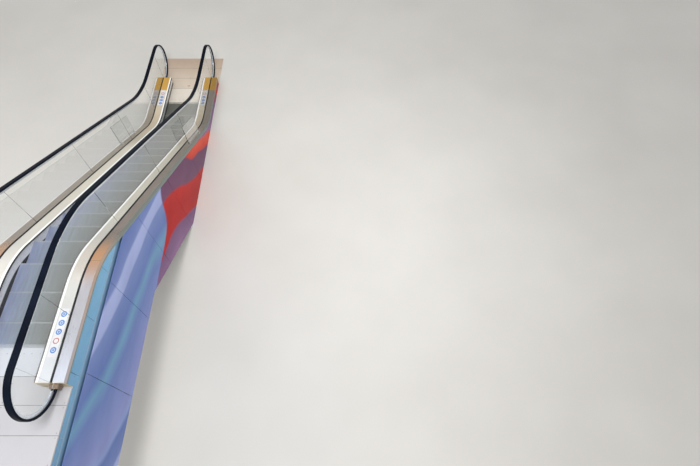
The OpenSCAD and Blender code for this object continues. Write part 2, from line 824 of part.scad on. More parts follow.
module step_rollers() {
    color("dimgray") for (k = [0:step_count - 1]) pair() {
        roller(roller_x, step_y(k) - axle_to_nosing, step_z(k) - axle_drop, axle_r);
        roller(frame_side + frame_x + fit, step_y(k) - trail_back, step_z(k) - trail_drop, stub_r);
    }
}

// Comb plates in toothed segments, and floor plates.
comb_segments = 4;
module comb_plan(i) {
    n = 2 * cleat_side / comb_segments;
    x0 = i == 0 ? fit - step_band / 2 : (i * n - cleat_side) * cleat_pitch + fit / 2;
    x1 = i == comb_segments - 1 ? step_band / 2 - fit
        : ((i + 1) * n - cleat_side) * cleat_pitch - fit / 2;
    polygon(concat([[x1, -comb_depth], [x0, -comb_depth], [x0, -tooth_len]],
        [for (j = [0:n - 1], p = [[-1, -tooth_len], [-0.6, 0], [0.6, 0], [1, -tooth_len]])
            [(i * n - cleat_side + j + 0.5) * cleat_pitch + p[0] * tooth_w / 2, p[1]]],
        [[x1, -tooth_len]]));
}

module comb_plate(first) {
    tip = -tread_drop - tooth_dip;
    for (i = [0:comb_segments - 1]) intersection() {
        translate([0, 0, tip]) linear_extrude(-tip) comb_plan(i);
        side_plate(-step_band / 2, step_band / 2)
            polygon([[0, tip], [0, tip + 3], [-tooth_len, -6], [-tooth_len - 35, 0], [-comb_depth, 0],
                [-comb_depth, 2 - tread_drop], [-tooth_len, 2 - tread_drop], [-tooth_len + 4, tip]]);
    }
    box(fit - step_band / 2, step_band / 2 - fit, -first + fit, -comb_depth - fit, 2 - tread_drop, 0);
}

module upper_comb_plate() {
    color("beige") translate([0, comb_up, floor_up]) comb_plate(plate_first_up);
}

module lower_comb_plate() {
    color("beige") translate([0, comb_low, floor_low]) mirror([0, 1, 0]) comb_plate(plate_first_low);
}

module floor_plates(first, pitch, deck_end_len, last) {
    difference() {
        linear_extrude(plate_t) difference() {
            for (y = [first:pitch:last - 1])
                rect(-outer_x, outer_x, -y - pitch + plate_gap, -y);
            pair() rect(step_band / 2 - fit, outer_x + 1, -deck_end_len - deck_end_t - 2 * fit, 0);
        }
        slot_y = -first - pitch / 4;
        box(-lift_slot_len / 2, lift_slot_len / 2, slot_y - lift_slot_w / 2, slot_y + lift_slot_w / 2,
            plate_t * 2 / 3, plate_t + 1);
    }
}

module upper_floor_plates() {
    color("ivory") translate([0, comb_up, floor_up - plate_t])
        floor_plates(plate_first_up, plate_pitch_up, deck_end_up, plate_first_up + 5 * plate_pitch_up);
}

module lower_floor_plates() {
    color("ivory") translate([0, comb_low, floor_low - plate_t]) mirror([0, 1, 0])
        floor_plates(plate_first_low, plate_pitch_low, deck_end_low, plate_first_low + 3 * plate_pitch_low);
}

// Clear guards in clips that stand on the outer decks near the lower landing.
module deck_guards() {
    deck_z = [for (y = [guard_y0, guard_y1]) slope_z(y, -deck_h / cos(slope))];
    lift = (clip_floor + 2 * fit) / cos(slope);
    color([0.8, 0.92, 0.95, 0.4]) pair() {
        side_plate(guard_x, guard_x + guard_t)
            polygon([[guard_y0, deck_z[0] + lift], [guard_y1, deck_z[1] + lift],
                [guard_y1, deck_z[1] + guard_h], [guard_y0, deck_z[0] + guard_h]]);
        translate([guard_x + guard_t / 2, guard_y0, deck_z[0]]) rotate([-slope, 0, 0])
            for (y = [12, guard_len / cos(slope) - clip_len - 24]) difference() {
                box(-clip_w / 2, clip_w / 2, y, y + clip_len, fit, clip_h);
                box(-guard_t / 2 - fit, guard_t / 2 + fit, y - 1, y + clip_len + 1,
                    fit + clip_floor, clip_h + 1);
            }
    }
}

upper_support_angle();
lower_support_angle();
truss_chords();
truss_frames();
soffit_panels();
upper_end_plate();
lower_end_plate();
side_cladding_left();
side_cladding_right();
upper_fascia_left();
upper_fascia_right();
outer_deck_left();
outer_deck_right();
inner_deck_left();
inner_deck_right();
skirt_left();
skirt_right();
skirt_brush_left();
skirt_brush_right();
skirt_light_left();
skirt_light_right();
glass_clamp_left();
glass_clamp_right();
glass_gasket_left();
glass_gasket_right();
glass_left();
glass_right();
handrail_guide_left();
handrail_guide_right();
handrail_left();
handrail_right();
upper_deck_ends();
lower_deck_ends();
handrail_inlets();
step_treads();
step_risers();
step_frames();
step_rollers();
step_tracks();
upper_comb_plate();
lower_comb_plate();
upper_floor_plates();
lower_floor_plates();
deck_guards();
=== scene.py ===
"""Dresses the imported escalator: procedural materials, fine detail, camera, floor and light."""
import json
import math

import bmesh
import bpy
from mathutils import Matrix, Vector


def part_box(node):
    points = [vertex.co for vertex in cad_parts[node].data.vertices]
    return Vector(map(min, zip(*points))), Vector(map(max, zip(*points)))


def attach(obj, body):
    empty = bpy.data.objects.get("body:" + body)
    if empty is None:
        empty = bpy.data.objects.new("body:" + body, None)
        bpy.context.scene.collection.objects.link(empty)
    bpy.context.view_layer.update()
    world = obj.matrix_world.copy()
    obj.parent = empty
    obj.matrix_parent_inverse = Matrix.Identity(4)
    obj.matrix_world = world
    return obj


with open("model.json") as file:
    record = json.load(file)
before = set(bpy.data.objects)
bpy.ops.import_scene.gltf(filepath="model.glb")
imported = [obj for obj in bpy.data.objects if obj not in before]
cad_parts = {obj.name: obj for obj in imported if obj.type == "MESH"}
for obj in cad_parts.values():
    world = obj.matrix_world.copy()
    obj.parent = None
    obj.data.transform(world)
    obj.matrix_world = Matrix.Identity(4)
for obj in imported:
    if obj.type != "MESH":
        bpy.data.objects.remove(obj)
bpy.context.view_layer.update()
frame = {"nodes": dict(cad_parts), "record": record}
nodes = frame["nodes"]
slot_of = {part["node"]: part["material_slot"] for part in frame["record"]["subparts"]}

# Driving dimensions, in metres.
SLOPE = math.radians(30)
KNEE_R_UP = 1.21
KNEE_R_LOW = 1.30
FLAT_UP = 1.01
DECK_H = 0.19
LIP_H = 0.06
PLATE_PITCH_UP = 0.32
PLATE_PITCH_LOW = 0.362
SEAT_GAP = 0.0003

# Places read from the frame. Those with an x are on the right side, and the left side mirrors them.
SIDES = (-1, 1)
floor_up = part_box("upper_floor_plates")[1].z
floor_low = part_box("lower_floor_plates")[1].z
plates_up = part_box("upper_floor_plates")[1].y
plates_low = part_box("lower_floor_plates")[0].y
comb_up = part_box("upper_comb_plate")[1].y
comb_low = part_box("lower_comb_plate")[0].y
deck_y0, deck_y1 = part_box("outer_deck_right")[0].y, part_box("outer_deck_right")[1].y
outer_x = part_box("outer_deck_right")[1].x
skirt_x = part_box("skirt_right")[0].x
brush_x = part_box("skirt_brush_right")[0].x
clad_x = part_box("side_cladding_right")[0].x
print_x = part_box("side_cladding_right")[1].x
glass_x = (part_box("glass_right")[0].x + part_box("glass_right")[1].x) / 2
knee_up = comb_up + FLAT_UP
knee_low = knee_up + (floor_up - floor_low) / math.tan(SLOPE)
arc_up = knee_up - KNEE_R_UP * math.tan(SLOPE / 2)
arc_up_end = arc_up + KNEE_R_UP * math.sin(SLOPE)
arc_low = knee_low + KNEE_R_LOW * math.tan(SLOPE / 2)
arc_low_start = arc_low - KNEE_R_LOW * math.sin(SLOPE)


def loose_boxes(node):
    """Lowest and highest corner of each separate solid in a CAD node, in order of y, then x."""
    mesh = nodes[node].data
    key_of = {}
    parent = []
    owner = []
    for vertex in mesh.vertices:
        key = tuple(round(c, 5) for c in vertex.co)
        if key not in key_of:
            key_of[key] = len(parent)
            parent.append(len(parent))
        owner.append(key_of[key])

    def head(i):
        while parent[i] != i:
            parent[i] = parent[parent[i]]
            i = parent[i]
        return i

    for polygon in mesh.polygons:
        first = head(owner[polygon.vertices[0]])
        for index in polygon.vertices[1:]:
            parent[head(owner[index])] = first
    groups = {}
    for vertex, own in zip(mesh.vertices, owner):
        groups.setdefault(head(own), []).append(vertex.co)
    boxes = []
    for points in groups.values():
        low = Vector([min(p[i] for p in points) for i in range(3)])
        high = Vector([max(p[i] for p in points) for i in range(3)])
        boxes.append((low, high))
    return sorted(boxes, key=lambda b: (round(b[0].y, 3), b[0].x))


def path_at(y, height=0.0):
    """Point and downward tilt of the line at a height above the step path, at level distance y."""
    if y < arc_up:
        tilt, base = 0.0, floor_up
    elif y < arc_up_end:
        tilt = math.asin((y - arc_up) / KNEE_R_UP)
        base = floor_up - KNEE_R_UP * (1 - math.cos(tilt))
    elif y < arc_low_start:
        tilt, base = SLOPE, floor_up - (y - knee_up) * math.tan(SLOPE)
    elif y < arc_low:
        tilt = math.asin((arc_low - y) / KNEE_R_LOW)
        base = floor_low + KNEE_R_LOW * (1 - math.cos(tilt))
    else:
        tilt, base = 0.0, floor_low
    return Vector((0, y + height * math.sin(tilt), base + height * math.cos(tilt))), tilt


def along_run(y0, y1, step):
    """Level distances from y0 to y1, about one path step apart."""
    y, found = y0, []
    while y <= y1:
        found.append(y)
        y += step * math.cos(path_at(y)[1])
    return found


# Colours, and the range in which most values of a noise texture lie.
WHITE = (1.0, 1.0, 1.0, 1.0)
NOISE_LOW = 0.3
NOISE_HIGH = 0.7


def srgb(red, green, blue):
    """Screen colour, 0 to 255, as the linear colour that Blender takes."""
    def linear(c):
        c /= 255
        return c / 12.92 if c <= 0.04045 else ((c + 0.055) / 1.055) ** 2.4
    return (linear(red), linear(green), linear(blue), 1.0)


def grey(value):
    """Linear grey."""
    return (value, value, value, 1.0)


def shade(colour, factor):
    """The colour, darker or lighter by a factor."""
    return tuple(min(1.0, c * factor) for c in colour[:3]) + (1.0,)


class Material:
    """A Principled material with the node chains that the finishes below share."""

    def __init__(self, name, colour, metallic=0.0, roughness=0.5, **sockets):
        self.data = bpy.data.materials.new(name)
        self.data.use_nodes = True
        self.tree = self.data.node_tree
        self.shader = self.tree.nodes["Principled BSDF"]
        self.shader.inputs["Base Color"].default_value = colour
        self.shader.inputs["Metallic"].default_value = metallic
        self.shader.inputs["Roughness"].default_value = roughness
        for socket, value in sockets.items():
            self.shader.inputs[socket.replace("_", " ")].default_value = value
        self.place = self.add("ShaderNodeTexCoord").outputs["Object"]

    def add(self, kind, **settings):
        node = self.tree.nodes.new(kind)
        for name, value in settings.items():
            setattr(node, name, value)
        return node

    def link(self, source, target):
        self.tree.links.new(source, target)

    def feed(self, socket, value):
        """Links another node's output to a socket, or sets the socket's own value."""
        if isinstance(value, bpy.types.NodeSocket):
            self.link(value, socket)
        else:
            socket.default_value = value

    def math(self, operation, a, b=0.0):
        node = self.add("ShaderNodeMath", operation=operation)
        self.feed(node.inputs[0], a)
        self.feed(node.inputs[1], b)
        return node.outputs[0]

    def plus(self, a, b):
        return self.math("ADD", a, b)

    def times(self, a, b):
        return self.math("MULTIPLY", a, b)

    def mapped(self, scale=(1, 1, 1), tilt=0.0):
        """Object coordinates, scaled and turned about X."""
        node = self.add("ShaderNodeMapping")
        node.inputs["Rotation"].default_value = (tilt, 0, 0)
        node.inputs["Scale"].default_value = scale
        self.link(self.place, node.inputs["Vector"])
        return node.outputs[0]

    def axes(self, vector=None):
        """X, Y and Z of a vector, or of the object coordinates."""
        node = self.add("ShaderNodeSeparateXYZ")
        self.link(self.place if vector is None else vector, node.inputs[0])
        return node.outputs

    def across(self):
        """How far each face looks along X: 0 for the decks' tops, 1 for upright side faces."""
        normal = self.add("ShaderNodeNewGeometry").outputs["Normal"]
        return self.math("ABSOLUTE", self.axes(normal)[0])

    def noise(self, scale, detail=3.0, stretch=(1, 1, 1), tilt=0.0):
        node = self.add("ShaderNodeTexNoise")
        node.inputs["Scale"].default_value = scale
        node.inputs["Detail"].default_value = detail
        node.inputs["Roughness"].default_value = 0.55
        self.link(self.mapped(stretch, tilt), node.inputs["Vector"])
        return node.outputs["Fac"]

    def span(self, value, low, high, to_low=0.0, to_high=1.0):
        """The value's range from low to high, carried over to another range and held at its ends."""
        node = self.add("ShaderNodeMapRange", clamp=True)
        for socket, number in zip(node.inputs, (value, low, high, to_low, to_high)):
            self.feed(socket, number)
        return node.outputs[0]

    def over_path(self):
        """Upright height above the step path, with both knees rounded."""
        knee_blend = 0.3
        _, y, z = self.axes()
        fall = self.times(y, math.tan(SLOPE))
        line = self.math("SUBTRACT", floor_up + knee_up * math.tan(SLOPE), fall)
        capped = self.math("SMOOTH_MIN", line, floor_up)
        held = self.math("SMOOTH_MAX", capped, floor_low)
        for output in (capped, held):
            output.node.inputs[2].default_value = knee_blend
        return self.math("SUBTRACT", z, held)

    def ramp(self, factor, stops, interpolation="LINEAR"):
        """Colour ramp from a list of (position, colour)."""
        node = self.add("ShaderNodeValToRGB")
        node.color_ramp.interpolation = interpolation
        elements = node.color_ramp.elements
        while len(elements) < len(stops):
            elements.new(0.5)
        for element, (position, colour) in zip(elements, stops):
            element.position = position
            element.color = colour
        self.link(factor, node.inputs[0])
        return node.outputs[0]

    def between(self, mask, first, second):
        """Turns from the first colour to the second as a noise mask rises."""
        return self.ramp(mask, [(NOISE_LOW, first), (NOISE_HIGH, second)])

    def along_y(self, stops):
        """Colour that changes softly along Y, from a list of (y, colour)."""
        y0, y1 = stops[0][0], stops[-1][0]
        shares = [((y - y0) / (y1 - y0), colour) for y, colour in stops]
        return self.ramp(self.span(self.axes()[1], y0, y1), shares, "EASE")

    def mix(self, factor, a, b, blend="MIX"):
        """Mixes two colours. The node's colour sockets are its inputs 6 and 7 and its output 2."""
        node = self.add("ShaderNodeMix", data_type="RGBA", blend_type=blend)
        for index, value in ((0, factor), (6, a), (7, b)):
            self.feed(node.inputs[index], value)
        return node.outputs[2]

    def mottled(self, base, mask, dark, low=NOISE_LOW, high=NOISE_HIGH):
        """The base colour, multiplied by a darker tone where the mask is low."""
        return self.mix(1.0, base, self.ramp(mask, [(low, dark), (high, WHITE)]), "MULTIPLY")

    def flecked(self, base, under, mask, dark):
        """The base colour with a share of fine flecks in the colour under it."""
        return self.mix(0.3, base, self.mottled(under, mask, dark, 0.35, 0.65))

    def colour(self, source):
        self.link(source, self.shader.inputs["Base Color"])

    def rough(self, source, low, high):
        self.link(self.span(source, NOISE_LOW, NOISE_HIGH, low, high), self.shader.inputs["Roughness"])

    def bump(self, height, distance, strength):
        node = self.add("ShaderNodeBump")
        node.inputs["Distance"].default_value = distance
        node.inputs["Strength"].default_value = strength
        self.link(height, node.inputs["Height"])
        self.link(node.outputs[0], self.shader.inputs["Normal"])


# Materials.
ALONG_RUN = (60, 1.2, 60)
ACROSS_RUN = (1.5, 60, 60)


def painted(name, colour, roughness=0.4):
    """Satin paint with soft clouds and a fine grain."""
    m = Material(name, colour, 0.0, roughness, Specular_IOR_Level=0.5)
    m.colour(m.between(m.noise(3.0, 4), shade(colour, 0.88), shade(colour, 1.1)))
    m.rough(m.noise(40, 2), roughness - 0.08, roughness + 0.1)
    m.bump(m.noise(900, 1), 0.0002, 0.25)
    return m.data


def brushed(name, colour, roughness, grain_shape=ALONG_RUN, contrast=0.1, metallic=1.0, tone_and_reflections=None, edge=None):
    """Brushed metal. The optional lists of (y, colour) give broad changes along the run, the second on the
    upright faces; on the decks they carry painted reflections and light as well as the metal's own colours.
    """
    m = Material(name, colour, metallic, roughness)
    grain = m.noise(9.0, 4, grain_shape)
    cloud = m.noise(1.3, 3)
    # The y lists paint reflections and light into the decks' colour.
    base = m.along_y(tone_and_reflections) if tone_and_reflections else colour
    if edge:
        base = m.mix(m.span(m.across(), 0.7, 0.9), base, m.along_y(edge))
    graded = m.mottled(base, grain, grey(1 - contrast))
    m.colour(m.mottled(graded, cloud, grey(0.93), high=0.65))
    m.rough(m.plus(m.times(grain, 0.5), m.times(cloud, 0.5)), roughness - 0.07, roughness + 0.1)
    m.bump(grain, 0.0003, 0.35)
    return m.data


def cast_metal(name, colour, roughness):
    """Cast aluminium with fine grain, worn brighter in places."""
    m = Material(name, colour, 0.6, roughness)
    cloud = m.noise(2.2, 5)
    fine = m.noise(240, 3)
    worn = m.ramp(cloud, [(0.32, shade(colour, 0.82)), (0.68, shade(colour, 1.18))])
    m.colour(m.mix(0.35, worn, m.ramp(fine, [(0.35, shade(colour, 0.7)), (0.65, shade(colour, 1.3))])))
    m.rough(cloud, roughness - 0.1, roughness + 0.12)
    m.bump(fine, 0.0004, 0.4)
    return m.data


def comb_metal():
    """Comb plates with painted light, cool at the upper landing and brighter and warm at the lower one, with
    fine cast grain.
    """
    m = Material("comb_aluminium", srgb(226, 224, 220), 0.05, 0.4)
    cloud = m.noise(2.2, 5)
    fine = m.noise(240, 3)
    # Painted light: cool daylight at the upper comb, brighter warm light at the lower one.
    tone = m.along_y([(comb_up, srgb(206, 210, 218)), (comb_low, srgb(255, 245, 230))])
    worn = m.mottled(tone, cloud, grey(0.9))
    m.colour(m.flecked(worn, worn, fine, grey(0.7)))
    m.rough(cloud, 0.3, 0.52)
    m.bump(fine, 0.0004, 0.4)
    return m.data


def tread_metal():
    """Ribbed treads with a painted reflection and light across them, bluish and lighter on one side and
    warmer and darker on the other, fading to an even warm grey lower down, scuffed along the way.
    """
    half_band = 0.4
    reflection_fade_from_y = 5.0
    reflection_fade_at_y = 8.5
    m = Material("tread_aluminium", srgb(158, 168, 176), 0.3, 0.45)
    streak = m.noise(5.0, 4, (7, 0.7, 1))
    fine = m.noise(240, 3)
    # Painted reflection and light across the treads: bluish and lighter towards -X, warmer and darker towards
    # +X.
    tone = m.ramp(m.span(m.axes()[0], -half_band, half_band), [
        (0.0, srgb(198, 208, 236)), (0.45, srgb(176, 187, 194)), (1.0, srgb(146, 146, 140))])
    # Lower down the run the painted reflection fades to an even warm grey.
    tone = m.mix(m.span(m.axes()[1], reflection_fade_from_y, reflection_fade_at_y), tone, srgb(160, 161, 152))
    worn = m.mottled(tone, streak, grey(0.8))
    m.colour(m.flecked(worn, worn, fine, grey(0.7)))
    m.rough(streak, 0.36, 0.56)
    m.bump(fine, 0.0004, 0.4)
    return m.data


def floor_steel():
    """Satin landing plates with a fine etched pattern and faint foot wear, and painted light: cool at the
    upper landing, a bright warm pool at the lower one that turns tan further out.
    """
    m = Material("landing_plate", srgb(217, 213, 208), 0.15, 0.42)
    wear = m.noise(1.7, 5)
    grit = m.noise(160, 3)
    # Painted light along y: cool at the upper comb, a bright warm pool at the lower comb, tan further out.
    tone = m.along_y([(comb_up, srgb(194, 193, 197)), (comb_low, srgb(255, 240, 222)),
                      (comb_low + 0.6, srgb(246, 228, 208)), (comb_low + 1.6, srgb(212, 187, 164))])
    worn = m.mottled(tone, wear, grey(0.88))
    m.colour(m.flecked(worn, tone, grit, grey(0.78)))
    m.rough(wear, 0.34, 0.52)
    m.bump(grit, 0.0006, 0.5)
    return m.data


def rubber(name, colour, roughness, specular=0.5):
    """Dull rubber or plastic with soft clouds."""
    m = Material(name, colour, 0.0, roughness, Specular_IOR_Level=specular)
    cloud = m.noise(5, 4)
    m.colour(m.between(cloud, shade(colour, 0.7), shade(colour, 1.5)))
    m.rough(cloud, roughness - 0.08, roughness + 0.1)
    m.bump(m.noise(500, 2), 0.0001, 0.3)
    return m.data


def clear(name, face, edge):
    """Clear sheet whose edges, seen through its width, are deeper in colour. Light passes it freely."""
    m = Material(name, face, 0.0, 0.0, Transmission_Weight=1.0, IOR=1.5)
    m.colour(m.mix(m.span(m.across(), 0.3, 0.8), edge, face))
    m.rough(m.noise(2, 2), 0.0, 0.012)
    light = m.add("ShaderNodeLightPath").outputs
    through = m.add("ShaderNodeBsdfTransparent")
    through.inputs["Color"].default_value = face
    blend = m.add("ShaderNodeMixShader")
    m.link(m.math("MAXIMUM", light["Is Shadow Ray"], light["Is Diffuse Ray"]), blend.inputs[0])
    m.link(m.shader.outputs[0], blend.inputs[1])
    m.link(through.outputs[0], blend.inputs[2])
    m.link(blend.outputs[0], m.tree.nodes["Material Output"].inputs["Surface"])
    return m.data


def skirt_steel():
    """Satin stainless skirt, darker along its foot."""
    band_top = 0.05
    band_edge = 0.012
    bright = srgb(242, 240, 240)
    m = Material("skirt_steel", bright, 0.25, 0.3)
    grain = m.noise(9.0, 4, ALONG_RUN)
    steel = m.mottled(bright, grain, (0.94, 0.94, 0.95, 1))
    dark_foot = m.between(m.noise(2.4, 4), srgb(50, 49, 47), srgb(74, 71, 66))
    # Darker along the foot, next to the steps.
    m.colour(m.mix(m.span(m.over_path(), band_top, band_top + band_edge), dark_foot, steel))
    m.rough(grain, 0.22, 0.4)
    m.bump(grain, 0.0002, 0.3)
    return m.data


COOL_RIBBONS = [
    (0.0, srgb(110, 134, 196)), (0.18, srgb(128, 148, 204)), (0.21, srgb(172, 186, 234)),
    (0.33, srgb(180, 192, 238)), (0.36, srgb(128, 146, 204)), (0.5, srgb(108, 132, 194)),
    (0.54, srgb(152, 170, 222)), (0.6, srgb(148, 158, 212)), (0.82, srgb(116, 138, 198)),
    (0.92, srgb(122, 168, 204)), (1.0, srgb(110, 134, 196))]
WARM_RIBBONS = [
    (0.0, srgb(190, 8, 10)), (0.16, srgb(206, 20, 14)), (0.19, srgb(124, 78, 112)),
    (0.42, srgb(112, 66, 104)), (0.45, srgb(226, 58, 34)), (0.56, srgb(240, 84, 54)),
    (0.59, srgb(158, 118, 160)), (0.8, srgb(128, 88, 132)), (0.83, srgb(196, 14, 14)),
    (1.0, srgb(190, 8, 10))]


def printed_cladding():
    """Glossy back-printed panels: broad flowing ribbons in blue and lavender, then red and plum."""
    ribbons_per_metre = 0.52
    first_ribbon = 10.35
    border_at = 3.72
    border_width = 0.06
    m = Material("printed_cladding", srgb(98, 106, 176), 0.0, 0.2, Specular_IOR_Level=0.07)
    run, rise = m.axes(m.mapped(tilt=SLOPE))[1:]
    sway = m.times(m.math("SINE", m.times(run, 0.95)), 0.26)
    drift = m.times(m.noise(0.55, 2, (1, 0.6, 1)), 0.8)
    height = m.plus(m.plus(rise, sway), drift)
    turn = m.math("FRACT", m.plus(m.times(height, ribbons_per_metre), first_ribbon))
    ripple = m.times(m.math("SINE", m.times(rise, 4.2)), 0.22)
    border = m.plus(m.math("SUBTRACT", run, m.times(rise, 0.75)), ripple)
    warmth = m.span(border, border_at, border_at + border_width)
    tone = m.mix(warmth, m.ramp(turn, COOL_RIBBONS), m.ramp(turn, WARM_RIBBONS))
    m.colour(m.mottled(tone, m.noise(3.2, 4, (1, 0.35, 1), SLOPE), (0.86, 0.87, 0.9, 1)))
    m.rough(m.noise(1.2, 2), 0.08, 0.18)
    m.bump(m.noise(0.9, 1, (1, 0.6, 1)), 0.01, 0.3)
    return m.data


def fascia_glass():
    """Teal glossy strip, with a paler band set back below it."""
    m = Material("fascia_teal", srgb(88, 160, 184), 0.0, 0.12, Coat_Weight=0.6, Coat_Roughness=0.05)
    strip_y0 = 0.2
    strip_y1 = 3.9
    recessed_x = clad_x - 0.012
    front_x = clad_x - 0.004
    x, y, _ = m.axes()
    cloud = m.noise(1.5, 3)
    strip = m.ramp(m.span(y, strip_y0, strip_y1), [
        (0.0, srgb(86, 150, 196)), (0.55, srgb(92, 168, 214)), (1.0, srgb(112, 190, 232))])
    strip = m.mottled(strip, cloud, (0.85, 0.88, 0.9, 1))
    m.colour(m.mix(m.span(m.math("ABSOLUTE", x), recessed_x, front_x), srgb(142, 182, 212), strip))
    m.rough(cloud, 0.08, 0.18)
    m.bump(m.noise(1.1, 1), 0.004, 0.3)
    return m.data


def light_strip():
    """Faintly glowing diffuser under the inner deck."""
    m = Material("light_diffuser", (0.85, 0.85, 0.83, 1), 0.0, 0.45, Emission_Strength=0.3)
    glow = m.between(m.noise(3, 2), (1.0, 0.97, 0.9, 1), (1.0, 1.0, 0.97, 1))
    m.link(glow, m.shader.inputs["Emission Color"])
    return m.data


# Colours of the decks at level distances, with painted reflections and light: a painted cool reflection of
# daylight at the top, a painted warm reflection in the upper knee of the outer deck, painted lighter and
# darker stretches along the inner deck, gold end caps from GOLD_Y on.
GOLD_Y = 9.23
GOLD_EDGE = 0.04
OUTER_DECK_TOP_TONES_AND_REFLECTIONS = [
    (1.6, srgb(222, 226, 238)), (2.75, srgb(216, 214, 220)), (3.3, srgb(252, 196, 152)),
    (3.75, srgb(192, 178, 168)), (GOLD_Y - GOLD_EDGE, srgb(166, 156, 146)), (GOLD_Y, srgb(216, 168, 90))]
OUTER_DECK_SIDE_TONES_AND_REFLECTIONS = [
    (1.6, srgb(204, 196, 202)), (3.2, srgb(206, 178, 160)), (3.9, srgb(136, 148, 144)),
    (GOLD_Y - GOLD_EDGE, srgb(132, 144, 140)), (GOLD_Y, srgb(190, 146, 82))]
INNER_DECK_TOP_TONES_AND_LIGHT = [
    (1.6, srgb(230, 231, 235)), (3.0, srgb(240, 236, 228)), (5.5, srgb(252, 245, 228)),
    (6.7, srgb(250, 242, 224)), (7.2, srgb(228, 214, 192)), (8.1, srgb(234, 216, 188)),
    (GOLD_Y - GOLD_EDGE, srgb(248, 236, 212)), (GOLD_Y, srgb(246, 192, 96))]

finish = {
    "support": painted("support_paint", srgb(92, 94, 98)),
    "truss": painted("truss_paint", srgb(112, 120, 130)),
    "soffit": painted("soffit_paint", srgb(196, 198, 202), 0.35),
    "cladding": printed_cladding(),
    "fascia": fascia_glass(),
    # Both decks take painted reflections and light from their y lists.
    "outer_deck": brushed("outer_deck_steel", srgb(150, 142, 134), 0.3, contrast=0.14, metallic=0.85,
                          tone_and_reflections=OUTER_DECK_TOP_TONES_AND_REFLECTIONS, edge=OUTER_DECK_SIDE_TONES_AND_REFLECTIONS),
    "inner_deck": brushed("inner_deck_steel", srgb(246, 240, 224), 0.38, contrast=0.05, metallic=0.35,
                          tone_and_reflections=INNER_DECK_TOP_TONES_AND_LIGHT),
    "skirt": skirt_steel(),
    "brush": rubber("brush_black", grey(0.02), 0.7),
    "light": light_strip(),
    "clamp": brushed("clamp_aluminium", srgb(150, 152, 156), 0.35),
    "gasket": rubber("gasket_rubber", (0.012, 0.012, 0.014, 1), 0.55),
    "balustrade_glass": clear("balustrade_glass", (0.975, 0.992, 0.99, 1), (0.2, 0.5, 0.45, 1)),
    "guide": brushed("guide_aluminium", srgb(236, 243, 252), 0.24, contrast=0.06, metallic=0.5),
    # The near-black takes a blue tint, a painted blue sheen.
    "handrail": rubber("handrail_rubber", (0.004, 0.0065, 0.014, 1), 0.4, 0.05),
    "deck_end": brushed("deck_end_steel", srgb(214, 196, 160), 0.3, ACROSS_RUN),
    "inlet": rubber("inlet_moulding", srgb(122, 104, 88), 0.5),
    "tread": tread_metal(),
    "riser": cast_metal("riser_aluminium", srgb(120, 127, 130), 0.46),
    "step_frame": cast_metal("step_frame_casting", srgb(128, 130, 132), 0.5),
    "roller": rubber("roller_polyurethane", (0.05, 0.05, 0.055, 1), 0.45),
    "track": brushed("track_steel", srgb(150, 152, 154), 0.38),
    "comb": comb_metal(),
    "floor_plate": floor_steel(),
    "guard": clear("guard_acrylic", (0.985, 0.995, 0.998, 1), (0.6, 0.82, 0.86, 1)),
}
SCREW = brushed("screw_steel", srgb(170, 170, 172), 0.28, (20, 20, 20))
# Dark finish for the joints, and painted shade in the lifting slots.
DARK_JOINT_AND_SHADE = painted("dark_joint_and_shade", srgb(26, 27, 29), 0.6)
# Worn cleat ends, made bright as a painted highlight on each nosing.
NOSING_WEAR_AND_HIGHLIGHT = brushed("nosing_wear_and_highlight", srgb(216, 222, 224), 0.4, (3, 60, 60), metallic=0.25)
BLUE = painted("disc_blue", srgb(0, 126, 212))
RED = painted("ring_red", srgb(206, 60, 52), 0.3)
TRIM = brushed("edge_trim", srgb(132, 148, 144), 0.4, metallic=0.05)
FILM = painted("deck_film", srgb(244, 240, 242), 0.35)

# Each CAD node takes the finish of its slot.
for name, node in nodes.items():
    node.data.materials.clear()
    node.data.materials.append(finish[slot_of[name]])


# Forms for the fine pieces.
def piece(name, mesh, material):
    """Finishes a bmesh as an object that rides on the escalator."""
    bmesh.ops.recalc_face_normals(mesh, faces=mesh.faces)
    data = bpy.data.meshes.new(name)
    mesh.to_mesh(data)
    mesh.free()
    data.materials.append(material)
    item = bpy.data.objects.new(name, data)
    bpy.context.scene.collection.objects.link(item)
    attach(item, "root")


def tilted(point, tilt):
    """Matrix at a point of the run, with Y down the run and Z off the deck."""
    return Matrix.Translation(point) @ Matrix.Rotation(-tilt, 4, "X")


def add_block(mesh, low, high, matrix=None):
    """Adds a block between two corners, placed by a matrix if there is one."""
    low, high = Vector(low), Vector(high)
    size, centre = high - low, (high + low) / 2
    for vertex in bmesh.ops.create_cube(mesh, size=1.0)["verts"]:
        vertex.co = Vector([vertex.co[i] * size[i] + centre[i] for i in range(3)])
        if matrix:
            vertex.co = matrix @ vertex.co


def add_loop(mesh, matrix, radius, height, sides):
    """Adds a round of vertices about the matrix's Z axis."""
    turns = [2 * math.pi * i / sides for i in range(sides)]
    points = [Vector((radius * math.cos(turn), radius * math.sin(turn), height)) for turn in turns]
    return [mesh.verts.new(matrix @ point) for point in points]


def bridge(mesh, first, second):
    """Adds the faces between two rounds of as many vertices."""
    for i in range(len(first)):
        j = (i + 1) % len(first)
        mesh.faces.new((first[i], first[j], second[j], second[i]))


def hexagon(turn):
    """Distance of a hexagon's side from its centre in a direction, 1 at the middle of each flat."""
    sixth = math.pi / 3
    return 1 / math.cos((turn + sixth / 2) % sixth - sixth / 2)


SCREW_SIDES = 18
SCREW_T = 0.0012
SOCKET_R = 0.5
SOCKET_FLOOR = 0.25
# Rounds of a screw head as shares of its radius and height: rim, dome, and the socket down to its floor.
SCREW_HEAD = [(1.0, 0.0), (1.0, 0.35), (0.86, 0.85), (SOCKET_R, 1.0), (SOCKET_R, SOCKET_FLOOR)]


